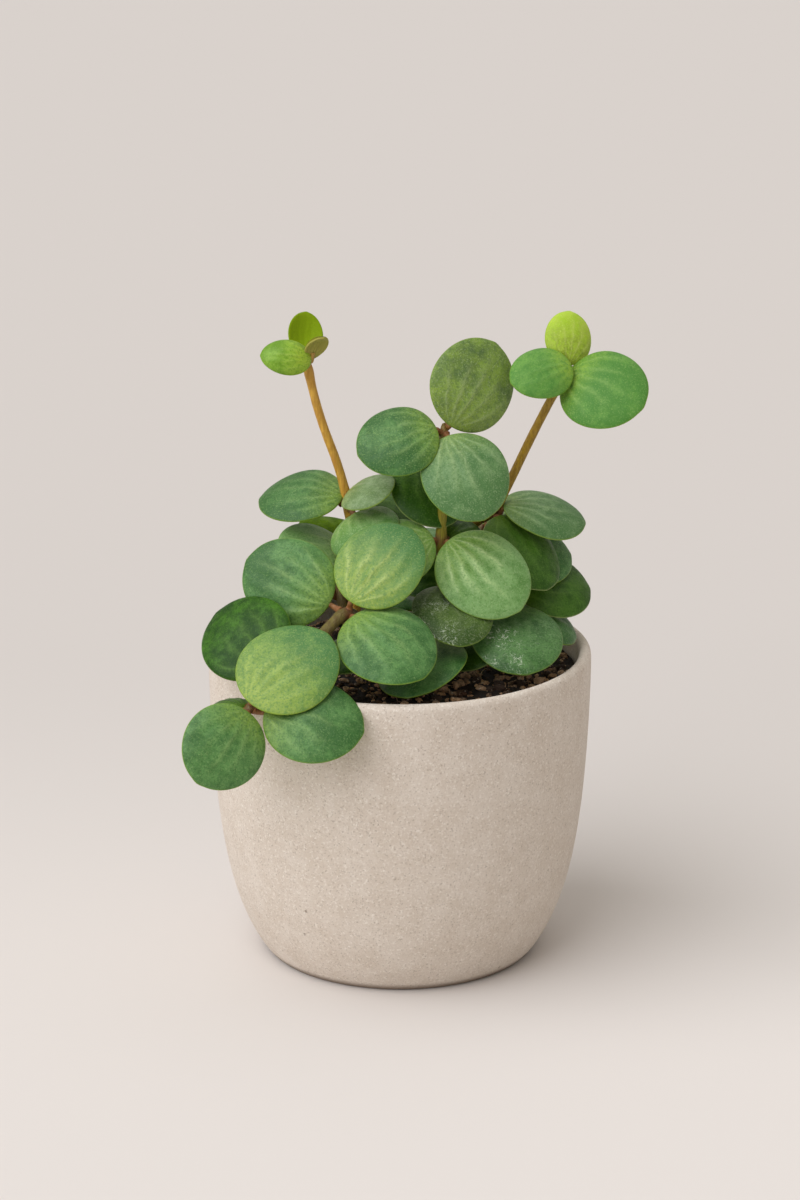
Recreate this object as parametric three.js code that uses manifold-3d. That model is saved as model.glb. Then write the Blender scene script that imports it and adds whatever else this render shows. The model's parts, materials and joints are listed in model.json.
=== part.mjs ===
// A potted peperomia: seven leafy shoots rooted in a stoneware pot filled with soil.
// Millimetres, +Z up. The pot stands on Z = 0 with its axis on Z, and the front faces -Y.
// Azimuths are in degrees from +X towards +Y, so -90 points to the front.
import * as THREE from "three";
import Module from "manifold-3d";

const wasm = await Module();
wasm.setup();

// Driving dimensions of the pot
const pot = {
  height: 95,
  footRadius: 41.6,
  lipRadius: 57.8,
  wall: 4,
  floor: 7,
  footEase: 0.8,
  lipRound: 2,
  cornerRise: 3,
  cornerReach: 4,
  segments: 36,
};

// The outer side swells quickly from the foot and then stands almost upright.
const potSide = [
  [pot.footRadius, pot.footEase],
  [43.3, 3],
  [46.2, 8],
  [49.2, 15],
  [52, 24],
  [54.3, 36],
  [56, 50],
  [57.2, 68],
  [pot.lipRadius, pot.height - pot.lipRound],
];

// Driving dimensions of the soil, which lies a little under the lip and is mounded in the middle
const soil = {
  edgeHeight: 87,
  sideTop: 82,
  mound: 4.5,
  crumb: 1.1,
  gap: 0.3,
  rings: 9,
  segments: 36,
};

// Driving dimensions of the stems and of the way a leaf joins its stem
const stem = {
  rootedHeight: 72,
  jointSwell: 0.7,
  jointReach: 4,
  taper: 0.15,
  bud: 2.4,
  ringSpacing: 4,
  sides: 8,
  holeGap: 0.3,
};
const petiole = { thick: 1.1, thin: 0.75, sunk: 3.2, gap: 0.3, sides: 5 };

// Driving dimensions of a blade's section, from its centre to its rim
const blade = { points: 14, thickness: 1.7, rim: 0.7, shoulder: 0.9, inner: 0.5 };

const colours = {
  stoneware: 0xc4b8a8,
  soil: 0x2b211a,
  matureStem: 0x7a6a3c,
  youngStem: 0xa8752c,
  mature: 0x4d7d4a,
  light: 0x86a85a,
  young: 0x8cb83a,
  dark: 0x2f5b3a,
};

// A closed mesh from vertices and triangles, as a solid that can be joined and cut
function solidFrom(vertices, triangles) {
  return new wasm.Manifold(
    new wasm.Mesh({
      numProp: 3,
      vertProperties: new Float32Array(vertices.flat()),
      triVerts: new Uint32Array(triangles.flat()),
    }),
  );
}

function vector(point) {
  return new THREE.Vector3(...point);
}

function geometryFrom(solid) {
  const mesh = solid.getMesh();
  const geometry = new THREE.BufferGeometry();
  geometry.setAttribute(
    "position",
    new THREE.BufferAttribute(new Float32Array(mesh.vertProperties), 3),
  );
  geometry.setIndex(new THREE.BufferAttribute(new Uint32Array(mesh.triVerts), 1));
  return geometry;
}

function material(name, color, roughness) {
  return new THREE.MeshStandardMaterial({ name, color, roughness, metalness: 0 });
}

const plant = new THREE.Group();

function addNode(name, geometry, surface) {
  geometry.computeVertexNormals();
  const mesh = new THREE.Mesh(geometry, surface);
  mesh.name = name;
  plant.add(mesh);
}

// Triangles that close a row of rings, each with the same number of corners, into a solid
function closedRings(rings) {
  const around = rings[0].length;
  const vertices = rings.flat();
  const triangles = [];
  for (let k = 0; k < rings.length - 1; k++) {
    for (let i = 0; i < around; i++) {
      const a = k * around + i;
      const b = k * around + ((i + 1) % around);
      triangles.push([a, b, b + around], [a, b + around, a + around]);
    }
  }
  for (const [k, flip] of [
    [0, true],
    [rings.length - 1, false],
  ]) {
    const centre = vertices.length;
    const ring = rings[k];
    const middle = [0, 1, 2].map((j) => ring.reduce((s, p) => s + p[j], 0) / around);
    vertices.push(middle);
    for (let i = 0; i < around; i++) {
      const a = k * around + i;
      const b = k * around + ((i + 1) % around);
      triangles.push(flip ? [b, a, centre] : [a, b, centre]);
    }
  }
  return solidFrom(vertices, triangles);
}

// A round tube along a curve, whose radius is a function of the distance from its start
function tube(points, radiusAt, sides, spacing) {
  const curve = new THREE.CatmullRomCurve3(
    points.map(vector),
    false,
    "centripetal",
  );
  curve.arcLengthDivisions = 400;
  const length = curve.getLength();
  const steps = Math.max(2, Math.round(length / spacing));
  const frames = curve.computeFrenetFrames(steps, false);
  const rings = [];
  for (let k = 0; k <= steps; k++) {
    const centre = curve.getPointAt(k / steps);
    const radius = radiusAt((k / steps) * length, centre, length);
    const ring = [];
    for (let i = 0; i < sides; i++) {
      const turn = (i / sides) * 2 * Math.PI;
      const p = centre
        .clone()
        .addScaledVector(frames.normals[k], radius * Math.cos(turn))
        .addScaledVector(frames.binormals[k], radius * Math.sin(turn));
      ring.push(p.toArray());
    }
    rings.push(ring);
  }
  return closedRings(rings);
}

// A straight round rod between two points, with a radius at each end
function taperedRod(from, to, startRadius, endRadius, sides) {
  const way = to.clone().sub(from).normalize();
  const helper = vector(Math.abs(way.z) > 0.9 ? [1, 0, 0] : [0, 0, 1]);
  const u = helper.cross(way).normalize();
  const v = way.clone().cross(u);
  const ringAt = (centre, radius) =>
    Array.from({ length: sides }, (_, i) => {
      const turn = (i / sides) * 2 * Math.PI;
      return centre
        .clone()
        .addScaledVector(u, radius * Math.cos(turn))
        .addScaledVector(v, radius * Math.sin(turn))
        .toArray();
    });
  return closedRings([ringAt(from, startRadius), ringAt(to, endRadius)]);
}

// The pot: one turned stoneware wall with a rounded lip and a closed foot
function innerRadiusAt(z) {
  const side = potSide.findIndex(([, height]) => height >= z);
  const [r1, z1] = potSide[side];
  const [r0, z0] = potSide[side - 1];
  return r0 + ((r1 - r0) * (z - z0)) / (z1 - z0) - pot.wall;
}

function makePot() {
  const outer = potSide.map(([r, z]) => new THREE.Vector2(r, z));
  const lip = [];
  const lipCentre = pot.lipRadius - pot.wall / 2;
  for (let degrees = 36; degrees <= 144; degrees += 36) {
    const turn = THREE.MathUtils.degToRad(degrees);
    lip.push(
      new THREE.Vector2(
        lipCentre + pot.lipRound * Math.cos(turn),
        pot.height - pot.lipRound + pot.lipRound * Math.sin(turn),
      ),
    );
  }
  const cornerHeight = pot.floor + pot.cornerRise;
  const inner = potSide
    .map(([, z]) => z)
    .filter((z) => z > cornerHeight)
    .reverse()
    .map((z) => new THREE.Vector2(innerRadiusAt(z), z));
  const profile = [
    new THREE.Vector2(0, 0),
    new THREE.Vector2(pot.footRadius - pot.footEase, 0),
    ...outer,
    ...lip,
    ...inner,
    new THREE.Vector2(innerRadiusAt(cornerHeight), cornerHeight),
    new THREE.Vector2(innerRadiusAt(cornerHeight) - pot.cornerReach, pot.floor),
    new THREE.Vector2(0, pot.floor),
  ];
  const geometry = new THREE.LatheGeometry(profile, pot.segments).rotateX(Math.PI / 2);
  addNode("pot", geometry, material("stoneware", colours.stoneware, 0.75));
}

// Soil height: a mound with crumbs, raised by a formula that repeats nowhere in the pot
function soilHeight(x, y) {
  const out = Math.min(1, Math.hypot(x, y) / innerRadiusAt(soil.edgeHeight));
  const swell = soil.mound * (1 - out ** 1.6);
  const lumps = Math.sin(x * 0.31 + 1.7) * Math.cos(y * 0.27 - 0.4);
  const crumbs = Math.sin(x * 1.13 + y * 0.71) * Math.sin(y * 1.37 - x * 0.53 + 2.1);
  return soil.edgeHeight + swell + soil.crumb * (0.6 * lumps + 0.7 * crumbs);
}

function makeSoil(shoots) {
  const fitted = (z) => innerRadiusAt(z) - soil.gap;
  const cornerHeight = pot.floor + pot.cornerRise + soil.gap;
  const sideHeights = potSide.map(([, z]) => z).filter((z) => z > cornerHeight && z < soil.sideTop);
  const rings = [];
  const ringAt = (radius, heightAt) =>
    Array.from({ length: soil.segments }, (_, i) => {
      const turn = (i / soil.segments) * 2 * Math.PI;
      const x = radius * Math.cos(turn);
      const y = radius * Math.sin(turn);
      return [x, y, heightAt(x, y)];
    });
  const footRadius = fitted(cornerHeight) - pot.cornerReach - 2 * soil.gap;
  rings.push(ringAt(footRadius, () => pot.floor + soil.gap));
  for (const z of [cornerHeight, ...sideHeights, soil.sideTop]) {
    rings.push(ringAt(fitted(z), () => z));
  }
  for (let k = 0; k < soil.rings; k++) {
    const radius = fitted(soil.sideTop) * (1 - k / soil.rings);
    rings.push(ringAt(radius, soilHeight));
  }
  let body = closedRings(rings);
  for (const shoot of shoots) {
    body = body.subtract(stemRoom(shoot, stem.holeGap));
  }
  addNode("soil", geometryFrom(body), material("soil", colours.soil, 1));
}

// The point that lies a little past the second of two points
function extend(from, to, distance) {
  const start = vector(from);
  const end = vector(to);
  const past = end.clone().sub(start).setLength(distance);
  return end.add(past).toArray();
}

// A stem: a tapering tube that swells at every joint and ends in a bud.
// A gap makes it thicker by that much all round.
function stemSolid(shoot, gap = 0) {
  const { path, radius } = shoot;
  const joints = shoot.whorls.map(({ at }) => vector(at));
  return tube(
    [...path, extend(path.at(-2), path.at(-1), stem.bud)],
    (along, centre, length) => {
      const plain = radius * (1 - (stem.taper * along) / length);
      const nearest = Math.min(...joints.map((joint) => joint.distanceTo(centre)));
      const swell = stem.jointSwell * Math.max(0, 1 - nearest / stem.jointReach);
      const left = (length - along) / stem.bud;
      const closing = left < 1 ? 0.4 + 0.6 * left : 1;
      return (plain + swell) * closing + gap / Math.cos(Math.PI / stem.sides);
    },
    stem.sides,
    stem.ringSpacing,
  );
}

// The room that a stem needs in the soil and among its leaves: its own shape, larger by the gap
function stemRoom(shoot, gap) {
  const { path, radius } = shoot;
  const foot = taperedRod(
    vector(path[1]),
    vector(extend(path[1], path[0], gap)),
    radius + gap,
    radius + gap,
    stem.sides,
  );
  const bud = taperedRod(
    vector(path.at(-1)),
    vector(extend(path.at(-2), path.at(-1), stem.bud + gap)),
    radius + gap,
    radius / 2 + gap,
    stem.sides,
  );
  return stemSolid(shoot, gap).add(foot).add(bud);
}

function makeStem(shoot) {
  const surface = material("stem", shoot.colour, 0.6);
  addNode(`stem_${shoot.name}`, geometryFrom(stemSolid(shoot)), surface);
}

// A leaf's own directions: along it, across it, and out of its upper face
function leafFrame([azimuth, rise, roll]) {
  const turn = THREE.MathUtils.degToRad(azimuth);
  const lift = THREE.MathUtils.degToRad(rise);
  const tilt = THREE.MathUtils.degToRad(roll);
  const along = new THREE.Vector3(
    Math.cos(lift) * Math.cos(turn),
    Math.cos(lift) * Math.sin(turn),
    Math.sin(lift),
  );
  const flatAcross = new THREE.Vector3(0, 0, 1).cross(along).normalize();
  const flatUp = along.clone().cross(flatAcross);
  const across = flatAcross
    .clone()
    .multiplyScalar(Math.cos(tilt))
    .addScaledVector(flatUp, Math.sin(tilt));
  const up = along.clone().cross(across);
  return { along, across, up };
}

// A blade: a round, thick pad, domed from its rim to its centre, with a narrow rounded edge
function bladeSolid(length, width, cup, fold, place) {
  const ringAt = (share, face) => {
    const ring = [];
    for (let i = 0; i < blade.points; i++) {
      const turn = (i / blade.points) * 2 * Math.PI;
      const narrowing = 1 + 0.05 * Math.cos(turn);
      const side = (-width / 2) * share * Math.sin(turn) * narrowing;
      const forward = (length / 2) * (1 - share * Math.cos(turn));
      const dome = cup * (1 - share ** 2) + fold * Math.abs(side);
      const thinned = share === blade.shoulder ? blade.rim : 1;
      const half = share === 1 ? 0 : (face * thinned * blade.thickness) / 2;
      ring.push(place(side, forward, dome + half).toArray());
    }
    return ring;
  };
  return closedRings([
    ringAt(blade.inner, -1),
    ringAt(blade.shoulder, -1),
    ringAt(1, 0),
    ringAt(blade.shoulder, 1),
    ringAt(blade.inner, 1),
  ]);
}

// A leaf: its blade, and the short petiole that holds it a hair's breadth off the joint
function makeLeaf(shoot, whorl, leaf, room) {
  const { size, stand = [2, 3], cup = 2, fold = 0, tone = "mature" } = leaf;
  const [length, width] = size;
  const { along, across, up } = leafFrame(leaf.towards);
  const joint = vector(whorl.at);
  const base = joint.clone().addScaledVector(along, stand[0]).addScaledVector(up, stand[1]);
  const place = (side, forward, height) =>
    base
      .clone()
      .addScaledVector(across, side)
      .addScaledVector(along, forward)
      .addScaledVector(up, height);
  const share = petiole.sunk / length;
  const sunk = place(0, petiole.sunk, 4 * cup * share * (1 - share));
  const stalk = taperedRod(joint, sunk, petiole.thick, petiole.thin, petiole.sides);
  const solid = bladeSolid(length, width, cup, fold, place).add(stalk).subtract(room);
  const name = `leaf_${shoot.name}_${whorl.name}_${leaf.to}`;
  addNode(name, geometryFrom(solid), material(`leaf ${tone}`, colours[tone], 0.45));
}

// The shoots. A path runs from the rooted end to the tip, and a whorl sits on one of its points.
// A leaf points towards its azimuth and rise, and is turned about its own length by its roll.
// Its blade starts that far along and above its upper face from the joint as its stand says.
const shoots = [
  {
    name: "tall_left",
    radius: 1.6,
    colour: colours.youngStem,
    path: [
      [-13, 8, stem.rootedHeight],
      [-13, 8, 92],
      [-14, 7, 118],
      [-15.6, 6, 137.5],
      [-18.8, 6, 150],
      [-22, 5.5, 159],
      [-25, 5, 169],
      [-27.4, 4, 180.6],
    ],
    whorls: [
      {
        name: "top",
        at: [-27.4, 4, 180.6],
        leaves: [
          { to: "left", towards: [-170, 4, -51], size: [14.7, 10.7], stand: [-0.4, 3.5], tone: "young" },
          { to: "back", towards: [93, 54, 0], size: [12, 10.9], stand: [6.1, -3.1], tone: "young" },
          {
            to: "right",
            towards: [-52, 35, -14],
            size: [9.3, 6.6],
            stand: [2.1, 3],
            fold: 0.3,
            tone: "young",
          },
        ],
      },
      {
        name: "middle",
        at: [-15.6, 6, 137.5],
        leaves: [
          { to: "left", towards: [165, -5, -24], size: [26.3, 24.2], stand: [1, 2.7] },
          { to: "right", towards: [-48, 11, 27], size: [18.8, 17], stand: [3, 4] },
          { to: "front", towards: [-72, -16, 30], size: [22.8, 21.8], stand: [5, -1] },
          { to: "back", towards: [25, -14, 24], size: [21, 19], stand: [3.5, 0], tone: "dark" },
        ],
      },
      {
        name: "low",
        at: [-14, 7, 118],
        leaves: [
          { to: "left", towards: [-165, 15, -30], size: [23, 21] },
          { to: "back", towards: [120, 14, 0], size: [24, 22], tone: "dark" },
          { to: "front", towards: [-55, 8, 0], size: [18, 16], stand: [3.5, 0], tone: "dark" },
        ],
      },
    ],
  },
  {
    name: "tall_right",
    radius: 1.6,
    colour: colours.youngStem,
    path: [
      [14, 14, stem.rootedHeight],
      [14, 14, 92],
      [16, 12, 118],
      [22.8, 8, 131],
      [27.8, 6, 134.7],
      [32, 6, 142.5],
      [38.6, 5, 157.2],
      [44.9, 4, 170.3],
      [48.9, 4, 177.4],
    ],
    whorls: [
      {
        name: "top",
        at: [48.9, 4, 177.4],
        leaves: [
          { to: "left", towards: [-163, -12, -45], size: [19.2, 17.1], stand: [-1.3, 4.7], tone: "light" },
          { to: "back", towards: [85, 56, 20], size: [17, 14.4], stand: [2.5, 1.2], tone: "young" },
          { to: "right", towards: [-32, -15, 46], size: [26.6, 26], stand: [0.4, 0.8] },
        ],
      },
      {
        name: "low",
        at: [16, 12, 118],
        leaves: [{ to: "back", towards: [118, 4, 0], size: [26, 24], stand: [3.5, 0] }],
      },
      {
        name: "middle",
        at: [27.8, 6, 134.7],
        leaves: [
          { to: "right", towards: [6, -14, 20], size: [25.5, 23.5], stand: [2.4, 2.9] },
          { to: "front", towards: [-50, -42, 0], size: [28, 25], stand: [2.4, 1.6] },
          { to: "back", towards: [85, -5, 0], size: [21, 19], stand: [3.5, 0], tone: "dark" },
        ],
      },
    ],
  },
  {
    name: "centre",
    radius: 1.7,
    colour: colours.matureStem,
    path: [
      [12, -9, stem.rootedHeight],
      [12, -9, 92],
      [12.3, -13, 103],
      [12.7, -11.5, 116],
      [12.1, -10, 130.6],
      [13, -8, 148],
      [12.9, -6, 162.7],
    ],
    whorls: [
      {
        name: "top",
        at: [12.9, -6, 162.7],
        leaves: [
          { to: "back", towards: [42, 51, 68], size: [28.5, 26.5], stand: [1.6, 2.8] },
          { to: "left", towards: [-166, -16, -46], size: [24.5, 22.7], stand: [2.3, 3.5] },
          { to: "front", towards: [-53, -52, 25], size: [27.5, 26], stand: [2.5, 2.8] },
        ],
      },
      {
        name: "middle",
        at: [12.1, -10, 130.6],
        leaves: [
          { to: "front", towards: [-30, -36, 35], size: [30, 27.5], stand: [2.2, 3.2], tone: "light" },
          { to: "left", towards: [-170, -20, -45], size: [24, 22] },
          { to: "back", towards: [115, 45, 0], size: [25, 23], tone: "dark" },
          { to: "right", towards: [50, -5, 38], size: [15, 14.5], stand: [3.2, 0.4], tone: "dark" },
        ],
      },
      {
        name: "low",
        at: [12.7, -11.5, 116],
        leaves: [{ to: "front", towards: [-80, -25, -5], size: [26, 24], stand: [1.5, 2.6] }],
      },
      {
        name: "root",
        at: [12.3, -13, 103],
        leaves: [{ to: "front", towards: [-108, -18, 10], size: [29, 27], stand: [5, 0.8], tone: "dark" }],
      },
    ],
  },
  {
    name: "trailing",
    radius: 2,
    colour: colours.matureStem,
    path: [
      [-8, -14, stem.rootedHeight],
      [-8.5, -15, 92],
      [-10, -20, 102],
      [-12.5, -27, 111.5],
      [-15.7, -32, 114.9],
      [-22.5, -40, 110.8],
      [-33, -48.6, 102.3],
      [-42.8, -56, 93.7],
    ],
    whorls: [
      {
        name: "low",
        at: [-10, -20, 102],
        leaves: [{ to: "front", towards: [-112, -15, 0], size: [20, 18], tone: "dark" }],
      },
      {
        name: "arch",
        at: [-15.7, -32, 114.9],
        leaves: [
          { to: "left", towards: [156, 21, -60], size: [28.5, 26.5], stand: [5.6, -0.3] },
          { to: "back", towards: [35, 40, 30], size: [28.5, 26.5], stand: [2.7, 3], tone: "light" },
          { to: "front", towards: [-42, -26, 22], size: [30, 28], stand: [3.2, 2.2] },
        ],
      },
      {
        name: "bend",
        at: [-33, -48.6, 102.3],
        leaves: [{ to: "left", towards: [131, 18, -42], size: [29, 27.5], stand: [4, 0.8], tone: "dark" }],
      },
      {
        name: "end",
        at: [-42.8, -56, 93.7],
        leaves: [
          { to: "top", towards: [35, 30, 30], size: [31, 29], stand: [0.2, 3.2], tone: "light" },
          { to: "left", towards: [-137, -40, -55], size: [25.5, 24], stand: [1.8, 3.2] },
          { to: "right", towards: [-10, -9, 46], size: [29, 26], stand: [4.2, 0.2] },
          { to: "back", towards: [122, -15, 0], size: [15, 14], stand: [3.5, 0], tone: "dark" },
        ],
      },
    ],
  },
  {
    name: "right",
    radius: 1.7,
    colour: colours.matureStem,
    path: [
      [27, -4, stem.rootedHeight],
      [27, -4, 92],
      [31, -7.5, 109],
      [30.5, -4.5, 115],
      [28, -1, 121],
    ],
    whorls: [
      {
        name: "top",
        at: [28, -1, 121],
        leaves: [
          { to: "right", towards: [25, -5, 38], size: [24, 22], stand: [1, 2.8] },
          { to: "back", towards: [88, 0, 0], size: [16, 14], tone: "dark" },
        ],
      },
      {
        name: "middle",
        at: [30.5, -4.5, 115],
        leaves: [{ to: "right", towards: [22, -8, 38], size: [26, 24], stand: [3.2, 0.4] }],
      },
      {
        name: "low",
        at: [31, -7.5, 109],
        leaves: [
          { to: "front", towards: [-78, -30, 0], size: [28, 28], stand: [1.8, 3.4] },
          { to: "left", towards: [-127, -27, 0], size: [22, 20], stand: [4.4, -1.8], tone: "dark" },
          { to: "right", towards: [10, -25, 20], size: [21, 19], stand: [3.5, 0.4] },
        ],
      },
    ],
  },
  {
    name: "back_left",
    radius: 1.7,
    colour: colours.matureStem,
    path: [
      [-16, 24, stem.rootedHeight],
      [-16, 24, 92],
      [-18, 28, 101],
      [-20, 31, 111],
    ],
    whorls: [
      {
        name: "top",
        at: [-20, 31, 111],
        leaves: [
          { to: "left", towards: [128, 8, 0], size: [21, 20], stand: [2, 3.4] },
          { to: "back", towards: [62, 4, 0], size: [27, 25], stand: [3.5, 0] },
        ],
      },
      {
        name: "low",
        at: [-18, 28, 101],
        leaves: [
          { to: "left", towards: [170, -4, 0], size: [25, 23], stand: [2, 3], tone: "dark" },
          { to: "right", towards: [5, -7, 0], size: [24, 22], stand: [3.8, 0.4] },
          { to: "back", towards: [95, -12, 0], size: [26, 24], stand: [3.5, 0] },
        ],
      },
    ],
  },
  {
    name: "back_right",
    radius: 1.7,
    colour: colours.matureStem,
    path: [
      [19, 26, stem.rootedHeight],
      [19, 26, 92],
      [22, 30, 107],
      [25, 33, 121],
    ],
    whorls: [
      {
        name: "top",
        at: [25, 33, 121],
        leaves: [
          { to: "right", towards: [5, 8, 0], size: [24, 22], stand: [2, 3.2] },
          { to: "back", towards: [100, 5, 0], size: [25, 23], stand: [3.5, 0] },
        ],
      },
      {
        name: "low",
        at: [22, 30, 107],
        leaves: [
          { to: "right", towards: [-5, -5, 0], size: [25, 23], stand: [2, 3.2], tone: "dark" },
          { to: "back", towards: [72, -12, 0], size: [27, 25], stand: [3.5, 0] },
          { to: "left", towards: [160, -4, -35], size: [24, 22], stand: [2, 3.2], tone: "dark" },
        ],
      },
    ],
  },
];

for (const shoot of shoots) {
  const room = stemRoom(shoot, petiole.gap);
  makeStem(shoot);
  for (const whorl of shoot.whorls) {
    for (const leaf of whorl.leaves) {
      makeLeaf(shoot, whorl, leaf, room);
    }
  }
}
makePot();
makeSoil(shoots);

export default plant;
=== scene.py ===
# The potted peperomia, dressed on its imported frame.
# Metres, +Z up, the pot's axis on Z and the front facing -Y.
import json
import math
import random

import bpy
from mathutils import Matrix, Vector
from mathutils.bvhtree import BVHTree


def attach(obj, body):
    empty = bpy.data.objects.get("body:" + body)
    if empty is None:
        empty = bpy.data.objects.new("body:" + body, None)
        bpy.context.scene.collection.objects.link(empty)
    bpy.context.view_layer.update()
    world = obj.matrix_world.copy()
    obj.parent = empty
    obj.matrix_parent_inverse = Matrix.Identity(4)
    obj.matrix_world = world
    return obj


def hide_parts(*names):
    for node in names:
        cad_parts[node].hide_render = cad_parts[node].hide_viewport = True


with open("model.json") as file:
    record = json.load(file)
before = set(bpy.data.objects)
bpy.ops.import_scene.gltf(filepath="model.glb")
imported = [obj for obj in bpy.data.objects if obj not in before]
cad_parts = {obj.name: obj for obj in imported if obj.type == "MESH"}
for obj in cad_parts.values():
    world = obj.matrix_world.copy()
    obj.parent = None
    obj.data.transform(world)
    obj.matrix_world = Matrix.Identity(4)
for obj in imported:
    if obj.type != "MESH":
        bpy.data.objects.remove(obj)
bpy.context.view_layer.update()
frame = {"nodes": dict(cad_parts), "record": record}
nodes = frame["nodes"]
slotOf = {part["node"]: part["material_slot"] for part in frame["record"]["subparts"]}
print("frame loaded:", len(nodes), "nodes")


# Small helpers

# A screen colour, 0 to 255 a channel, as the linear values that a shader wants (the sRGB curve)
def linear(colour):
    channels = []
    for value in colour:
        share = value / 255
        channels.append(share / 12.92 if share <= 0.04045 else ((share + 0.055) / 1.055) ** 2.4)
    return (*channels, 1)


def pick(*pieces):
    bpy.ops.object.select_all(action="DESELECT")
    for piece in pieces:
        piece.select_set(True)
    bpy.context.view_layer.objects.active = pieces[0]


def pieceName(node):
    first, *rest = node.split("_")
    return first + "".join(word.capitalize() for word in rest)


def copyOf(source, name):
    twin = source.copy()
    twin.data = source.data.copy()
    twin.name = name
    twin.parent = None
    for key in list(twin.keys()):
        del twin[key]  # the frame's own marks stay with the CAD node
    bpy.context.collection.objects.link(twin)
    twin.hide_render = False
    twin.hide_set(False)
    return twin


def weld(piece, distance=0.00001):
    pick(piece)
    bpy.ops.object.mode_set(mode="EDIT")
    bpy.ops.mesh.select_all(action="SELECT")
    bpy.ops.mesh.remove_doubles(threshold=distance)
    bpy.ops.object.mode_set(mode="OBJECT")


def roundOff(piece, levels):
    pick(piece)
    rounding = piece.modifiers.new("rounding", "SUBSURF")
    rounding.levels = levels
    rounding.render_levels = levels
    bpy.ops.object.modifier_apply(modifier=rounding.name)


# Layers of lumps, each with its size and height
def roughen(piece, layers, group="", direction="Z"):
    pick(piece)
    for size, height in layers:
        clouds = bpy.data.textures.new(f"{piece.name}Lumps", "CLOUDS")
        clouds.noise_scale = size
        clouds.noise_depth = 1
        lumps = piece.modifiers.new("lumps", "DISPLACE")
        lumps.texture = clouds
        lumps.texture_coords = "GLOBAL"
        lumps.direction = direction
        lumps.mid_level = 0.5
        lumps.strength = height
        lumps.vertex_group = group
        bpy.ops.object.modifier_apply(modifier=lumps.name)


# How near each vertex is to a joint, from 0 to 1, for the colour of bark
def markJoints(piece, nearness):
    mask = piece.data.attributes.new("jointMask", "FLOAT", "POINT")
    for vertex, value in zip(piece.data.vertices, mask.data):
        value.value = max(0.0, nearness(vertex.co))


def surfaceTree(mesh):
    faces = [tuple(face.vertices) for face in mesh.polygons]
    return BVHTree.FromPolygons([vertex.co for vertex in mesh.vertices], faces)


# Materials, body and node of a piece that stands for a CAD node
def finish(piece, node, *materials):
    for material in materials:
        piece.data.materials.append(material)
    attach(piece, "root")
    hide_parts(node)


# Shader pieces

# In a look, three numbers in brackets are a screen colour
def lookValue(value):
    return linear(value) if isinstance(value, tuple) else value


# An empty pattern with a socket for each value of a look
def newPattern(name, look):
    group = bpy.data.node_groups.new(name, "ShaderNodeTree")
    for label, value in look.items():
        kind = "NodeSocketColor" if isinstance(value, tuple) else "NodeSocketFloat"
        socket = group.interface.new_socket(label, in_out="INPUT", socket_type=kind)
        socket.default_value = lookValue(value)
    for label in ("Colour", "Roughness", "Height"):
        kind = "NodeSocketColor" if label == "Colour" else "NodeSocketFloat"
        group.interface.new_socket(label, in_out="OUTPUT", socket_type=kind)
    return group, group.nodes.new("NodeGroupInput"), group.nodes.new("NodeGroupOutput")


def feed(tree, socket, value):
    if isinstance(value, bpy.types.NodeSocket):
        tree.links.new(value, socket)
    elif value is not None:
        socket.default_value = value


def mathNode(tree, operation, a, b=None, clamp=False):
    node = tree.nodes.new("ShaderNodeMath")
    node.operation = operation
    node.use_clamp = clamp
    for socket, value in zip(node.inputs, (a, b)):
        feed(tree, socket, value)
    return node.outputs[0]


# A smooth step of a value from low to high
def ramp(tree, value, low, high, start=0.0, end=1.0):
    node = tree.nodes.new("ShaderNodeMapRange")
    node.interpolation_type = "SMOOTHSTEP"
    for label, given in (("Value", value), ("From Min", low), ("From Max", high),
                         ("To Min", start), ("To Max", end)):
        feed(tree, node.inputs[label], given)
    return node.outputs["Result"]


def mix(tree, factor, a, b):
    node = tree.nodes.new("ShaderNodeMix")
    node.data_type = "RGBA"
    node.clamp_factor = True
    feed(tree, node.inputs["Factor"], factor)
    feed(tree, node.inputs[6], a)
    feed(tree, node.inputs[7], b)
    return node.outputs[2]


def noise(tree, place, scale, detail, roughness):
    node = tree.nodes.new("ShaderNodeTexNoise")
    tree.links.new(place, node.inputs["Vector"])
    node.inputs["Scale"].default_value = scale
    node.inputs["Detail"].default_value = detail
    node.inputs["Roughness"].default_value = roughness
    return node.outputs["Fac"]


# Soft patches: a noise, the band of it that is used, and what the band's two ends become
def patches(tree, place, scale, detail, roughness, low, high, start=0.0, end=1.0):
    return ramp(tree, noise(tree, place, scale, detail, roughness), low, high, start, end)


def cells(tree, place, scale, feature="F1"):
    node = tree.nodes.new("ShaderNodeTexVoronoi")
    node.feature = feature
    tree.links.new(place, node.inputs["Vector"])
    node.inputs["Scale"].default_value = scale
    return node.outputs["Distance"]


def objectPlace(tree):
    return tree.nodes.new("ShaderNodeTexCoord").outputs["Object"]


def uvPlace(tree, name):
    node = tree.nodes.new("ShaderNodeUVMap")
    node.uv_map = name
    return node.outputs["UV"]


def meshValue(tree, name, kind="Fac"):
    node = tree.nodes.new("ShaderNodeAttribute")
    node.attribute_name = name
    return node.outputs[kind]


def parts(tree, vector):
    node = tree.nodes.new("ShaderNodeSeparateXYZ")
    tree.links.new(vector, node.inputs["Vector"])
    return node.outputs


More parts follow.
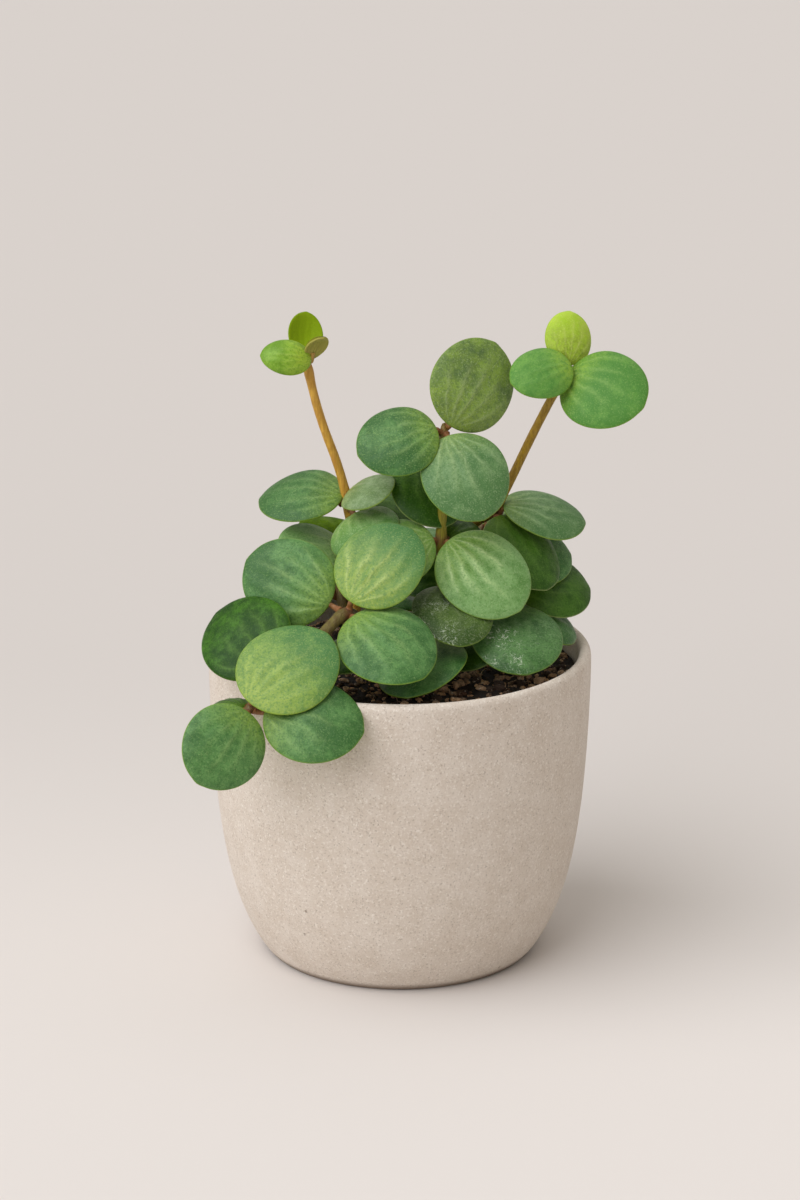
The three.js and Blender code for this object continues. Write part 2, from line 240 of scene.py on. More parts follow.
# A material whose colour, roughness and relief come from a pattern
def newMaterial(name, pattern, look, relief, **sockets):
    material = bpy.data.materials.new(name)
    material.use_nodes = True
    tree = material.node_tree
    shader = tree.nodes["Principled BSDF"]
    skin = tree.nodes.new("ShaderNodeGroup")
    skin.node_tree = pattern
    for label, value in look.items():
        skin.inputs[label].default_value = lookValue(value)
    bump = tree.nodes.new("ShaderNodeBump")
    bump.inputs["Strength"].default_value = 1.0
    bump.inputs["Distance"].default_value = relief
    tree.links.new(skin.outputs["Height"], bump.inputs["Height"])
    tree.links.new(bump.outputs["Normal"], shader.inputs["Normal"])
    tree.links.new(skin.outputs["Colour"], shader.inputs["Base Color"])
    tree.links.new(skin.outputs["Roughness"], shader.inputs["Roughness"])
    for label, value in sockets.items():
        shader.inputs[label.replace("_", " ")].default_value = value
    return material


# Camera and studio

studio = {
    "lens": 100,
    "sensor": 36,
    "distance": 1.0,
    "pitch": 17.08,  # degrees that the camera looks down
    "target": (0, 0, 0.109),
    "floorSize": 9.0,
    "floorColour": (221, 215, 211),
    "farColour": (206, 200, 196),
    "floorFade": (-0.12, 0.3),  # where the far colour starts and is full, along Y
    "floorRoughness": 0.9,
    "air": (253, 247, 238),
    "airStrength": 0.465,
    # name, where the light comes from, its spread in degrees, power, colour
    "lamps": [
        ("windowLight", (-0.9, -0.56, 1.12), 70, 2.42, (1.0, 1.01, 1.04)),
        ("topLight", (0.1, 0.35, 1.0), 70, 0.35, (1.0, 1.0, 1.0)),
    ],
}


def makeCamera():
    pitch = math.radians(studio["pitch"])
    back = Vector((0, -math.cos(pitch), math.sin(pitch)))
    cameraData = bpy.data.cameras.new("photoCamera")
    cameraData.lens = studio["lens"]
    cameraData.sensor_width = studio["sensor"]
    camera = bpy.data.objects.new("photoCamera", cameraData)
    camera.location = Vector(studio["target"]) + back * studio["distance"]
    camera.rotation_euler = (math.pi / 2 - pitch, 0, 0)
    bpy.context.collection.objects.link(camera)
    bpy.context.scene.camera = camera


def makeLight():
    for name, source, spread, power, colour in studio["lamps"]:
        lampData = bpy.data.lights.new(name, "SUN")
        lampData.angle = math.radians(spread)
        lampData.energy = power
        lampData.color = colour
        lamp = bpy.data.objects.new(name, lampData)
        lamp.location = source
        lamp.rotation_euler = (-Vector(source)).to_track_quat("-Z", "Y").to_euler()
        bpy.context.collection.objects.link(lamp)
    world = bpy.data.worlds.new("softAir")
    world.use_nodes = True
    air = world.node_tree.nodes["Background"]
    air.inputs["Color"].default_value = linear(studio["air"])
    air.inputs["Strength"].default_value = studio["airStrength"]
    bpy.context.scene.world = world
    bpy.context.scene.view_settings.view_transform = "Standard"


def makeFloor():
    bpy.ops.mesh.primitive_plane_add(size=studio["floorSize"], location=(0, 0, 0))
    floor = bpy.context.object
    floor.name = "floor"
    material = bpy.data.materials.new("paleFloor")
    material.use_nodes = True
    tree = material.node_tree
    shader = tree.nodes["Principled BSDF"]
    away = ramp(tree, parts(tree, objectPlace(tree))["Y"], *studio["floorFade"])
    colour = mix(tree, away, linear(studio["floorColour"]), linear(studio["farColour"]))
    tree.links.new(colour, shader.inputs["Base Color"])
    shader.inputs["Roughness"].default_value = studio["floorRoughness"]
    floor.data.materials.append(material)


def makeStudio():
    makeCamera()
    makeLight()
    makeFloor()
    print("studio ready")


# Pot: matte stoneware with fine light and dark grains, a few pits and a painted contact shadow along the
# foot

potForm = {
    "sides": 48,
    "smoothing": 2,
    "heel": 0.0408,
    "footInsets": (0.0012, 0.012),
    # radius and height of each ring of the outside
    "outside": [(0.0416, 0.0008), (0.0433, 0.003), (0.0462, 0.008), (0.0492, 0.015), (0.0520, 0.024),
                (0.0543, 0.036), (0.0560, 0.050), (0.0572, 0.068), (0.0577, 0.084), (0.0578, 0.0925)],
    "lipHeight": 0.095,
    "lipSteps": 5,
    "wall": 0.004,
    "insideFrom": 0.012,  # above this height the inside follows the outside
    "cornerIn": 0.0015,
    "cornerDown": 0.005,
    "floorIn": 0.006,
    "floorHeight": 0.007,
}

stonewareLook = {
    "Clay Colour": (217, 206, 194),
    "Shade Colour": (203, 189, 174),
    "Light Grain": (236, 228, 218),
    "Dark Grain": (120, 101, 84),
}

stonewareGrain = {
    # scale, detail and roughness of a noise, then the band that is used and its two ends
    "clouds": (110, 6.0, 0.8, 0.34, 0.66, 0.0, 0.7),
    "darkGrains": (1690, 2.0, 0.6, 0.55, 0.74),
    "pitPatches": (75, 2.0, 0.5, 0.56, 0.62),
    "sand": (1300, 3.0, 0.7),
    # bands and their ends
    "lightGrains": (0.52, 0.68),
    "pitEdge": (0.04, 0.065, 1.0, 0.0),
    # painted contact shadow: darker at the very bottom of the foot
    "footShade": (0.0005, 0.003, 0.85, 0.0),
    "dullness": (0.3, 0.7, 0.86, 0.7),
    "pitScale": 120,
    "lightStrength": 0.8,
    "darkStrength": 0.48,
    "pitStrength": 0.6,
    "relief": 0.00022,
}


def stonewarePattern():
    group, given, result = newPattern("stonewareGrain", stonewareLook)
    grain = stonewareGrain
    place = objectPlace(group)
    light, dark = given.outputs["Light Grain"], given.outputs["Dark Grain"]

    def covered(colour, mask, strength, over):
        return mix(group, mathNode(group, "MULTIPLY", mask, grain[strength]), colour, over)

    sand = noise(group, place, *grain["sand"])
    pit = ramp(group, cells(group, place, grain["pitScale"]), *grain["pitEdge"])
    pit = mathNode(group, "MULTIPLY", pit, patches(group, place, *grain["pitPatches"]))
    clouds = patches(group, place, *grain["clouds"])
    colour = mix(group, clouds, given.outputs["Clay Colour"], given.outputs["Shade Colour"])
    colour = covered(colour, ramp(group, sand, *grain["lightGrains"]), "lightStrength", light)
    colour = covered(colour, patches(group, place, *grain["darkGrains"]), "darkStrength", dark)
    colour = covered(colour, pit, "pitStrength", dark)
    # A painted contact shadow darkens the very bottom of the foot
    paintedContactShadow = ramp(group, parts(group, place)["Z"], *grain["footShade"])
    colour = mix(group, paintedContactShadow, colour, dark)
    group.links.new(colour, result.inputs["Colour"])
    group.links.new(ramp(group, sand, *grain["dullness"]), result.inputs["Roughness"])
    group.links.new(mathNode(group, "SUBTRACT", sand, pit), result.inputs["Height"])
    return group


# The selected ring is drawn out into the next one
def ringUp(radius, height, oldRadius, oldHeight):
    bpy.ops.mesh.extrude_edges_move(TRANSFORM_OT_translate={"value": (0, 0, height - oldHeight)})
    share = radius / oldRadius
    bpy.ops.transform.resize(value=(share, share, 1), center_override=(0, 0, height))


# Radius and height of every ring, up the outside, over the lip and down the inside
def potRings():
    outside = potForm["outside"]
    edgeRadius, edgeHeight = outside[-1]
    wall = potForm["wall"]
    lip = []
    for step in range(1, potForm["lipSteps"] + 1):
        turn = math.pi * step / (potForm["lipSteps"] + 1)
        reach = wall / 2 * (1 - math.cos(turn))
        rise = (potForm["lipHeight"] - edgeHeight) * math.sin(turn)
        lip.append((edgeRadius - reach, edgeHeight + rise))
    inside = [(radius - wall, height) for radius, height in reversed(outside)
              if height > potForm["insideFrom"]]
    cornerRadius, cornerHeight = inside[-1]
    hollow = [(cornerRadius - potForm["cornerIn"], cornerHeight - potForm["cornerDown"]),
              (cornerRadius - potForm["floorIn"], potForm["floorHeight"])]
    return outside + lip + inside + hollow


def makePot():
    bpy.ops.mesh.primitive_circle_add(
        vertices=potForm["sides"], radius=potForm["heel"], fill_type="NGON", location=(0, 0, 0))
    pot = bpy.context.object
    pot.name = "stonewarePot"
    bpy.ops.object.mode_set(mode="EDIT")
    bpy.ops.mesh.select_all(action="SELECT")
    for inset in potForm["footInsets"]:
        bpy.ops.mesh.inset(thickness=inset)
    bpy.ops.mesh.select_all(action="DESELECT")
    bpy.ops.mesh.select_mode(type="EDGE")
    bpy.ops.mesh.select_non_manifold()
    radius, height = potForm["heel"], 0.0
    for nextRadius, nextHeight in potRings():
        ringUp(nextRadius, nextHeight, radius, height)
        radius, height = nextRadius, nextHeight
    bpy.ops.mesh.edge_face_add()
    bpy.ops.mesh.select_all(action="SELECT")
    bpy.ops.mesh.normals_make_consistent(inside=False)
    bpy.ops.object.mode_set(mode="OBJECT")
    roundOff(pot, potForm["smoothing"])
    bpy.ops.object.shade_smooth()
    finish(pot, "pot", newMaterial("matteStoneware", stonewarePattern(), stonewareLook,
                                   stonewareGrain["relief"]))
    print("pot ready:", len(pot.data.polygons), "faces")


# Soil: a peaty mix with lumps, brown crumbs, pale chips and root fibres

soilForm = {
    "topHeight": 0.083,
    "topSlope": 0.35,  # faces that point up more than this are the surface
    "cuts": 7,
    "rimRadius": 0.0525,
    "rimCalm": 0.002,  # the lumps fade out over this distance from the rim
    # lump size and height of each layer
    "layers": [(0.0075, 0.0022), (0.0028, 0.0016), (0.0011, 0.0009)],
    "seed": 7,
    # kind, how many, smallest and largest radius
    "crumbs": [("peatCrumbs", 1150, 0.0005, 0.0018), ("barkCrumbs", 850, 0.0004, 0.0013),
               ("paleChips", 220, 0.0003, 0.0007)],
    "sources": 4,  # shapes that the crumbs of a kind are copied from
    "sourceLumps": [(1.1, 1.1), (0.45, 0.5)],
    "smallness": 1.7,  # above 1, small crumbs are more frequent than large ones
    "breadth": (0.6, 1),
    "flatness": (0.4, 0.8),
    "tumble": 0.7,
    "proud": 0.3,  # how far a crumb's middle lies above the ground, in radii
    "tones": (-0.9, 1.3),  # darkest and lightest crumb
    "castFrom": 0.12,  # height from which crumbs and fibres drop on the ground
    "fibres": 70,
    "fibreReach": 0.0035,
    "fibreRadius": 0.00013,
    "fibreLength": 0.006,
    "fibreCuts": 3,
    "fibreCurl": (0.0006, 0.0004),  # of the first source, and what each further one adds
    "fibreWaves": 320,
    "fibreTilt": 0.35,
    "fibreStretch": (0.5, 1.2),
    "fibreLift": 0.0005,
}

soilLooks = {
    "peatSoil": {"Dry Colour": (54, 39, 28), "Damp Colour": (20, 14, 10), "Fleck Colour": (140, 106, 78)},
    "peatCrumbs": {"Dry Colour": (212, 174, 138), "Damp Colour": (62, 44, 31),
                   "Fleck Colour": (240, 228, 210)},
    "barkCrumbs": {"Dry Colour": (214, 170, 128), "Damp Colour": (88, 60, 40),
                   "Fleck Colour": (240, 222, 198)},
    "paleChips": {"Dry Colour": (205, 178, 146), "Damp Colour": (158, 124, 92),
                  "Fleck Colour": (226, 206, 180)},
}

soilGrain = {
    # scale, detail and roughness of a noise, then the band that is used and its two ends
    "dryPatches": (480, 4.0, 0.75, 0.4, 0.6, 0.0, 0.6),
    "flecks": (620, 2.0, 0.6, 0.62, 0.7),
    "grains": (1300, 3.0, 0.7),
    "grainShade": (0.35, 0.6, 0.55, 0.0),
    "dullness": (0.0, 1.0, 0.8, 0.97),
    "fleckStrength": 0.6,
    "relief": 0.0006,
}


def soilPattern():
    group, given, result = newPattern("peatGrain", soilLooks["peatSoil"])
    place = objectPlace(group)
    dry = patches(group, place, *soilGrain["dryPatches"])
    dry = mathNode(group, "ADD", dry, meshValue(group, "crumbTone"), clamp=True)
    grain = noise(group, place, *soilGrain["grains"])
    flecks = patches(group, place, *soilGrain["flecks"])
    flecks = mathNode(group, "MULTIPLY", flecks, soilGrain["fleckStrength"])
    colour = mix(group, dry, given.outputs["Damp Colour"], given.outputs["Dry Colour"])
    colour = mix(group, flecks, colour, given.outputs["Fleck Colour"])
    colour = mix(group, ramp(group, grain, *soilGrain["grainShade"]), colour, given.outputs["Damp Colour"])
    group.links.new(colour, result.inputs["Colour"])
    group.links.new(ramp(group, dry, *soilGrain["dullness"]), result.inputs["Roughness"])
    group.links.new(grain, result.inputs["Height"])
    return group


def makeGround(material):
    soil = copyOf(nodes["soil"], "peatSoil")
    soil.data.materials.clear()
    weld(soil)
    top = soilForm["topHeight"]
    for face in soil.data.polygons:
        face.select = face.center.z > top and face.normal.z > soilForm["topSlope"]
    bpy.ops.object.mode_set(mode="EDIT")
    bpy.ops.mesh.select_mode(type="FACE")
    bpy.ops.mesh.subdivide(number_cuts=soilForm["cuts"])
    bpy.ops.object.mode_set(mode="OBJECT")
    surface = soil.vertex_groups.new(name="surface")
    for vertex in soil.data.vertices:
        out = math.hypot(vertex.co.x, vertex.co.y)
        if vertex.co.z > top:
            inward = (soilForm["rimRadius"] - out) / soilForm["rimCalm"]
            surface.add([vertex.index], min(1.0, max(0.0, inward)), "REPLACE")
    roughen(soil, soilForm["layers"], "surface")
    bpy.ops.object.shade_smooth()
    finish(soil, "soil", material)
    return surfaceTree(soil.data)


# Copies of a few source shapes, laid on the ground and joined
def scatter(name, count, ground, material, makeSource, place, low, high):
    sources = [makeSource(name, kind) for kind in range(soilForm["sources"])]
    copies = []
    while len(copies) < count:
        size = low + (high - low) * random.random() ** soilForm["smallness"]
        out = (soilForm["rimRadius"] - size) * math.sqrt(random.random())
        turn = random.uniform(0, 2 * math.pi)
        above = Vector((out * math.cos(turn), out * math.sin(turn), soilForm["castFrom"]))
        spot = ground.ray_cast(above, Vector((0, 0, -1)))[0]
        if spot is None:
            continue
        copy = copyOf(random.choice(sources), name)
        tone = random.uniform(*soilForm["tones"])
        for value in copy.data.attributes.new("crumbTone", "FLOAT", "POINT").data:
            value.value = tone
        copy.matrix_world = place(spot, size)
        copies.append(copy)
    for source in sources:
        bpy.data.objects.remove(source)
    pick(*copies)
    bpy.ops.object.transform_apply(location=True, rotation=True, scale=True)
    bpy.ops.object.join()
    piece = bpy.context.object
    piece.name = name
    piece.data.materials.clear()
    piece.data.materials.append(material)
    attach(piece, "root")


# Each source gets its lumps at a place of its own, so no two are alike
def crumb(name, kind):
    aside = Vector((5 * kind, 3, 0))
    bpy.ops.mesh.primitive_ico_sphere_add(subdivisions=2, radius=1, location=aside)
    source = bpy.context.object
    source.name = name + "Source"
    bpy.ops.object.transform_apply(location=True)
    roughen(source, soilForm["sourceLumps"], direction="NORMAL")
    bpy.ops.object.mode_set(mode="EDIT")
    bpy.ops.mesh.select_all(action="SELECT")
    bpy.ops.transform.translate(value=-aside)
    bpy.ops.object.mode_set(mode="OBJECT")
    return source


def tumbled(spot, size):
    broad = size * random.uniform(*soilForm["breadth"])
    flat = size * random.uniform(*soilForm["flatness"])
    turn = Matrix.Rotation(random.uniform(0, math.tau), 4, "Z")
    tip = Matrix.Rotation(random.uniform(-soilForm["tumble"], soilForm["tumble"]), 4, "X")
    middle = Matrix.Translation(spot + Vector((0, 0, size * soilForm["proud"])))
    return middle @ turn @ tip @ Matrix.Diagonal((size, broad, flat, 1))


def fibre(name, kind):
    bpy.ops.mesh.primitive_cylinder_add(
        vertices=5, radius=soilForm["fibreRadius"], depth=soilForm["fibreLength"])
    source = bpy.context.object
    source.name = name + "Source"
    bpy.ops.object.mode_set(mode="EDIT")
    bpy.ops.mesh.select_all(action="SELECT")
    bpy.ops.mesh.subdivide(number_cuts=soilForm["fibreCuts"])
    bpy.ops.object.mode_set(mode="OBJECT")
    curl, more = soilForm["fibreCurl"]
    for vertex in source.data.vertices:
        vertex.co.x += (curl + more * kind) * math.cos(vertex.co.z * soilForm["fibreWaves"])
    return source


# A fibre keeps the size of its source, so only the spot counts
def strewn(spot, size):
    turn = Matrix.Rotation(random.uniform(0, math.tau), 4, "Z")
    tilt = random.uniform(-soilForm["fibreTilt"], soilForm["fibreTilt"])
    tip = Matrix.Rotation(math.pi / 2 + tilt, 4, "X")
    stretch = Matrix.Diagonal((1, 1, random.uniform(*soilForm["fibreStretch"]), 1))
    return Matrix.Translation(spot + Vector((0, 0, soilForm["fibreLift"]))) @ turn @ tip @ stretch


def makeSoil():
    random.seed(soilForm["seed"])
    grain = soilPattern()
    looks = {name: newMaterial(name, grain, look, soilGrain["relief"]) for name, look in soilLooks.items()}
    ground = makeGround(looks["peatSoil"])
    for name, count, low, high in soilForm["crumbs"]:
        scatter(name, count, ground, looks[name], crumb, tumbled, low, high)
    reach = soilForm["fibreReach"]
    scatter("rootFibres", soilForm["fibres"], ground, looks["paleChips"], fibre, strewn, reach, reach)
    print("soil ready")


# Where each CAD leaf lies, read from its own faces

leafReading = {
    # how closely a face points the same way as the blade, as a cosine
    "facing": 0.3,
    "flat": 0.995,
    "top": 0.9999,
    "foldedShare": 0.05,  # a folded blade has less of its area in the flat disc than this
    "rimBand": (1.85, 2.1),  # the rim's distance from the middle, in reaches of the disc
    "foldedRimBand": (0.8, 1.01),
    "topDepth": 0.0002,
    "heart": 0.00085,  # from the disc down to the middle of the blade
    "halfThickness": 0.0011,
    "rimRoom": 1.03,
    "jointDepth": 0.0003,
    "facetShare": 0.986,  # a faceted outline is this much narrower than a round one
}


def leafPlace(node, stemTree):
    mesh = nodes[node].data
    points = [vertex.co.copy() for vertex in mesh.vertices]

    def facesAlong(direction, limit):
        return [face for face in mesh.polygons if face.normal.dot(direction) > limit]

    def area(faces):
        return sum(face.area for face in faces)

    def middleOf(faces):
        return sum((face.center * face.area for face in faces), Vector()) / area(faces)

    def normalOf(faces):
        return sum((face.normal * face.area for face in faces), Vector()).normalized()

    # The middle of a blade is a flat disc that gives its exact direction
    facing = leafReading["facing"]
    largest = max(mesh.polygons, key=lambda face: face.area).normal
    up = normalOf(facesAlong(largest, facing))
    disc = facesAlong(up, leafReading["flat"])
    folded = area(disc) < leafReading["foldedShare"] * area(mesh.polygons)
    if folded:
        disc = facesAlong(up, facing)
    else:
        up = normalOf(disc)

    def flat(vector):
        return vector - up * vector.dot(up)

    # The rim lies lower than the disc, which tells the upper side
    middle = middleOf(disc)
    reach = max(flat(points[index] - middle).length for face in disc for index in face.vertices)
    low, high = leafReading["foldedRimBand" if folded else "rimBand"]
    rim = sorted(point.dot(up) for point in points if low < flat(point - middle).length / reach < high)
    if rim[len(rim) // 2] > middle.dot(up):
        up.negate()
    upper = facesAlong(up, facing if folded else leafReading["top"])
    height = max(face.center.dot(up) for face in upper)
    upper = [face for face in upper if folded or face.center.dot(up) > height - leafReading["topDepth"]]
    centre = middleOf(upper)
    ring = [points[index] for face in upper for index in face.vertices]
    rimReach = max(flat(point - centre).length for point in ring) * (1 if folded else 2)

    # What lies off the blade is its stalk, and the stalk's end nearest to the stem is the joint
    def isStalk(point):
        share = flat(point - centre).length / rimReach
        level = point.dot(up) - height + leafReading["heart"] + bladeForm["dome"] * (share ** 2 - 0.25)
        return share > leafReading["rimRoom"] or abs(level) > leafReading["halfThickness"]

    stalk = [point for point in points if isStalk(point)] or points
    gaps = [stemTree.find_nearest(point)[3] for point in stalk]
    ends = [point for point, gap in zip(stalk, gaps) if gap < min(gaps) + leafReading["jointDepth"]]
    joint = sum(ends, Vector()) / len(ends)
    along = flat(centre - joint).normalized()
    if not folded:
        far = max(ring, key=lambda point: point.dot(along))
        near = min(ring, key=lambda point: point.dot(along))
        along = flat(far - near).normalized()
        centre = (far + near) / 2
    sideways = along.cross(up)
    tip = max(points, key=lambda point: point.dot(along))
    length = 2 * (tip - centre).dot(along)
    width = 2 * max(abs((point - centre).dot(sideways)) for point in points) / leafReading["facetShare"]
    base = centre - along * (length / 2) - up * (centre - tip).dot(up)
    return {"base": base, "along": along, "up": up, "sideways": sideways,
            "length": length, "width": width, "joint": joint}


# Leaves: thick round blades with sunken veins, a rounded rim and a short petiole

bladeForm = {
    "around": 72,
    "across": 30,
    "thickness": 0.0017,
    "fullness": 6,  # the higher, the squarer the rim
    "dome": 0.002,
    "egg": 0.05,
    # reach, width and sharpness of the small point at the tip
    "tip": 0.012,
    "tipWidth": 0.07,
    "tipPower": 6,
    # how the veins spread: gain, and how fast they open at the base and close at the tip
    "fan": (0.732, 0.75, 0.3),
    # place across the blade, reach towards the tip and width of each pair of veins
    "veinBands": [(0.0, 0.98, 0.15), (0.36, 0.8, 0.15), (0.78, 0.62, 0.15)],
    "pleat": 0.00028,
    "pleatReach": 0.17,
    "pleatEnd": 1.1,
    "edgeWave": 0.0004,
    "calmBase": 0.3,
    "sag": 0.0006,
    "sagRange": (-0.2, 1.0),
    "baseSag": 0.3,
    "skew": 0.0003,
    "usualLength": 0.026,  # sag and wave grow with a leaf's length, against this one
    "seed": 31,
    # drawn by chance for each leaf: how clear its veins are, how dark it is, how flecked
    "veins": (0.3, 0.7),
    "shade": (-0.12, 0.16),
    "flecks": (-0.1, 0.15),
}
veinSpan = 4  # the vein map holds places across the blade from -2 to 2

petioleForm = {
    "radius": 0.00092,
    "sunk": 0.0022,
    "under": 0.0006,
    "into": 0.0012,
    "bends": (0.35, 0.7),
    "sag": 0.0005,
    # thickness at each point of its route, from the joint to the blade
    "swell": (1.45, 1.12, 0.9, 0.86, 0.72),
}

# The colours of a blade. What a look leaves out is as in the first one.
leafLooks = {
    "mature": {
        "Body": (92, 137, 75), "Deep": (54, 99, 45), "Vein": (150, 182, 112), "Base": (132, 160, 60),
        "Rim": (124, 154, 42), "Vein Strength": 0.8, "Base Reach": 0.45, "Fleck Strength": 0.4,
        "Scuff Strength": 0.0,
    },
    "misty": {
        "Body": (116, 150, 98), "Deep": (78, 118, 66), "Vein": (162, 190, 136), "Base": (134, 160, 82),
        "Rim": (128, 158, 52), "Vein Strength": 0.8, "Base Reach": 0.4, "Fleck Strength": 0.4,
    },
    "light": {
        "Body": (112, 151, 78), "Deep": (74, 122, 66), "Vein": (176, 196, 118), "Base": (156, 177, 70),
        "Rim": (136, 164, 46), "Vein Strength": 0.85, "Base Reach": 0.9, "Fleck Strength": 0.45,
    },
    "fresh": {
        "Body": (106, 154, 70), "Deep": (78, 130, 56), "Vein": (154, 188, 108), "Base": (146, 178, 58),
        "Rim": (120, 158, 42), "Vein Strength": 0.8, "Base Reach": 0.45, "Fleck Strength": 0.35,
    },
    "young": {
        "Body": (130, 172, 52), "Deep": (98, 142, 26), "Vein": (180, 204, 100), "Base": (172, 194, 54),
        "Rim": (128, 160, 30), "Vein Strength": 0.6, "Base Reach": 0.7, "Fleck Strength": 0.2,
    },
    # lime green; its dark olive Base is partly the leaf's own olive base and partly painted shadow at the
    # base
    "limy": {
        "Body": (190, 214, 84), "Deep": (164, 198, 54), "Vein": (224, 234, 140), "Base": (84, 112, 0),
        "Rim": (150, 176, 48), "Vein Strength": 0.8, "Base Reach": 1.15, "Fleck Strength": 0.15,
    },
    "olive": {
        "Body": (102, 138, 0), "Deep": (72, 106, 0), "Vein": (136, 166, 22), "Base": (112, 136, 0),
        "Rim": (130, 156, 24), "Vein Strength": 0.7, "Base Reach": 0.5, "Fleck Strength": 0.2,
    },
    "dusky": {
        "Body": (124, 152, 62), "Deep": (80, 106, 58), "Vein": (160, 180, 122), "Base": (126, 148, 50),
        "Rim": (116, 142, 40), "Vein Strength": 0.8, "Base Reach": 0.4, "Fleck Strength": 0.75,
    },
    # grey-green with a painted grey-blue sheen in its colour, over the leaf's own tone
    "silvery": {
        "Body": (138, 161, 116), "Deep": (96, 124, 72), "Vein": (166, 186, 136), "Base": (152, 162, 84),
        "Rim": (128, 156, 52), "Vein Strength": 0.6, "Base Reach": 0.55, "Fleck Strength": 0.5,
    },
    "budding": {
        "Body": (122, 124, 24), "Deep": (92, 92, 12), "Vein": (160, 158, 66), "Base": (118, 108, 20),
        "Rim": (164, 158, 84), "Vein Strength": 0.4, "Base Reach": 0.6, "Fleck Strength": 0.2,
    },
    # deep green for leaves that lie in shade: partly their own colour, partly painted shade
    "dark": {
        "Body": (66, 104, 30), "Deep": (40, 76, 12), "Vein": (108, 142, 66), "Base": (92, 122, 30),
        "Rim": (140, 158, 92), "Vein Strength": 0.7, "Base Reach": 0.35, "Fleck Strength": 0.3,
    },
    "dusty": {
        "Body": (84, 110, 44), "Deep": (50, 78, 22), "Vein": (148, 162, 120), "Base": (112, 134, 64),
        "Rim": (112, 140, 48), "Vein Strength": 0.7, "Base Reach": 0.35, "Fleck Strength": 0.6,
        "Scuff Strength": 0.75,
    },
    "pale": {
        "Body": (124, 164, 100), "Deep": (86, 132, 62), "Vein": (178, 204, 142), "Base": (142, 174, 76),
        "Rim": (128, 160, 50), "Vein Strength": 0.85, "Base Reach": 0.6, "Fleck Strength": 0.45,
    },
    "shady": {
        "Body": (66, 114, 26), "Deep": (26, 66, 2), "Vein": (104, 144, 62), "Base": (84, 118, 24),
        "Rim": (92, 126, 32), "Vein Strength": 0.7, "Base Reach": 0.35, "Fleck Strength": 0.35,
    },
    "scuffed": {
        "Body": (82, 124, 66), "Deep": (40, 82, 32), "Vein": (136, 162, 112), "Base": (104, 130, 56),
        "Rim": (112, 142, 48), "Vein Strength": 0.7, "Base Reach": 0.35, "Fleck Strength": 0.3,
        "Scuff Strength": 1.0,
    },
    "underside": {
        "Body": (122, 150, 76), "Deep": (100, 130, 60), "Vein": (148, 170, 98), "Base": (148, 166, 80),
        "Rim": (130, 156, 52), "Vein Strength": 0.6, "Base Reach": 0.5, "Fleck Strength": 0.25,
    },
}

# Waxy leaves shine a little; young and dark ones less
leafShine = 0.28
lowShine = {"olive": 0.03, "budding": 0.05, "limy": 0.1, "fresh": 0.12, "shady": 0.19, "dark": 0.2}
leafDepth = {"Subsurface_Weight": 0.08, "Subsurface_Radius": (0.0012, 0.0018, 0.0006),
             "Subsurface_Scale": 1.0}
sameBelow = ("budding", "olive")  # tones that the underside shares

# What a leaf has of its own: a tone other than its slot's, the depth of its pleats, how clear its
# veins are, a fold, and how much darker it is than its tone, or lighter where that is below nought.
# These tones and this darkness are partly each leaf's own colour and partly painted shade and light.
ownLeaves = {
    "leaf_trailing_end_top": {"pleat": 0.00045, "veins": 0.22, "shade": 0.12},
    "leaf_trailing_end_left": {"veins": 0.4, "shade": 0.0},
    "leaf_trailing_end_right": {"veins": 0.4, "shade": 0.1},
    "leaf_trailing_bend_left": {"tone": "shady", "veins": 0.5, "shade": 0.2},
    "leaf_trailing_arch_back": {"pleat": 0.0008, "veins": 0.8, "shade": 0.7},
    "leaf_trailing_arch_left": {"pleat": 0.0007, "veins": 0.55},
    "leaf_trailing_arch_front": {"pleat": 0.0005, "veins": 0.45},
    "leaf_centre_top_back": {"tone": "dusky", "pleat": 0.0005, "veins": 0.6, "shade": -0.35},
    "leaf_centre_top_front": {"tone": "misty", "pleat": 0.0005, "veins": 0.6, "shade": 0.4},
    "leaf_centre_top_left": {"veins": 0.4, "shade": 0.3},
    "leaf_centre_middle_front": {"tone": "pale", "pleat": 0.00085, "veins": 0.85, "shade": -0.35},
    "leaf_centre_middle_left": {"tone": "pale"},
    "leaf_centre_middle_back": {"shade": 0.4},
    "leaf_centre_low_front": {"tone": "dusty", "veins": 0.3, "shade": 0.2},
    "leaf_centre_root_front": {"tone": "mature", "shade": -0.1},
    "leaf_tall_left_top_back": {"tone": "olive", "pleat": 0.0001},
    "leaf_tall_left_top_right": {"tone": "budding", "fold": 0.3},
    "leaf_tall_left_middle_left": {"veins": 0.4, "shade": 0.5},
    "leaf_tall_left_middle_right": {"tone": "silvery", "veins": 0.3, "shade": 0.25},
    "leaf_tall_left_middle_front": {"tone": "pale", "veins": 0.3, "shade": 0.15},
    "leaf_tall_left_low_left": {"tone": "pale", "shade": -0.5},
    "leaf_tall_left_low_back": {"tone": "olive"},
    "leaf_tall_right_top_left": {"tone": "fresh", "veins": 0.15, "shade": -0.3},
    "leaf_tall_right_top_right": {"tone": "fresh", "veins": 0.4, "shade": 0.45},
    "leaf_tall_right_top_back": {"tone": "limy", "pleat": 0.0001, "veins": 0.3, "shade": -0.4},
    "leaf_tall_right_middle_right": {"tone": "misty", "shade": 0.35},
    "leaf_tall_right_middle_front": {"tone": "dark", "shade": -0.4},
    "leaf_right_top_right": {"shade": 0.1},
    "leaf_right_middle_right": {"tone": "dark", "shade": -0.4},
    "leaf_right_low_front": {"tone": "scuffed", "veins": 0.2, "shade": -0.3},
    "leaf_right_low_right": {"shade": 0.4},
}

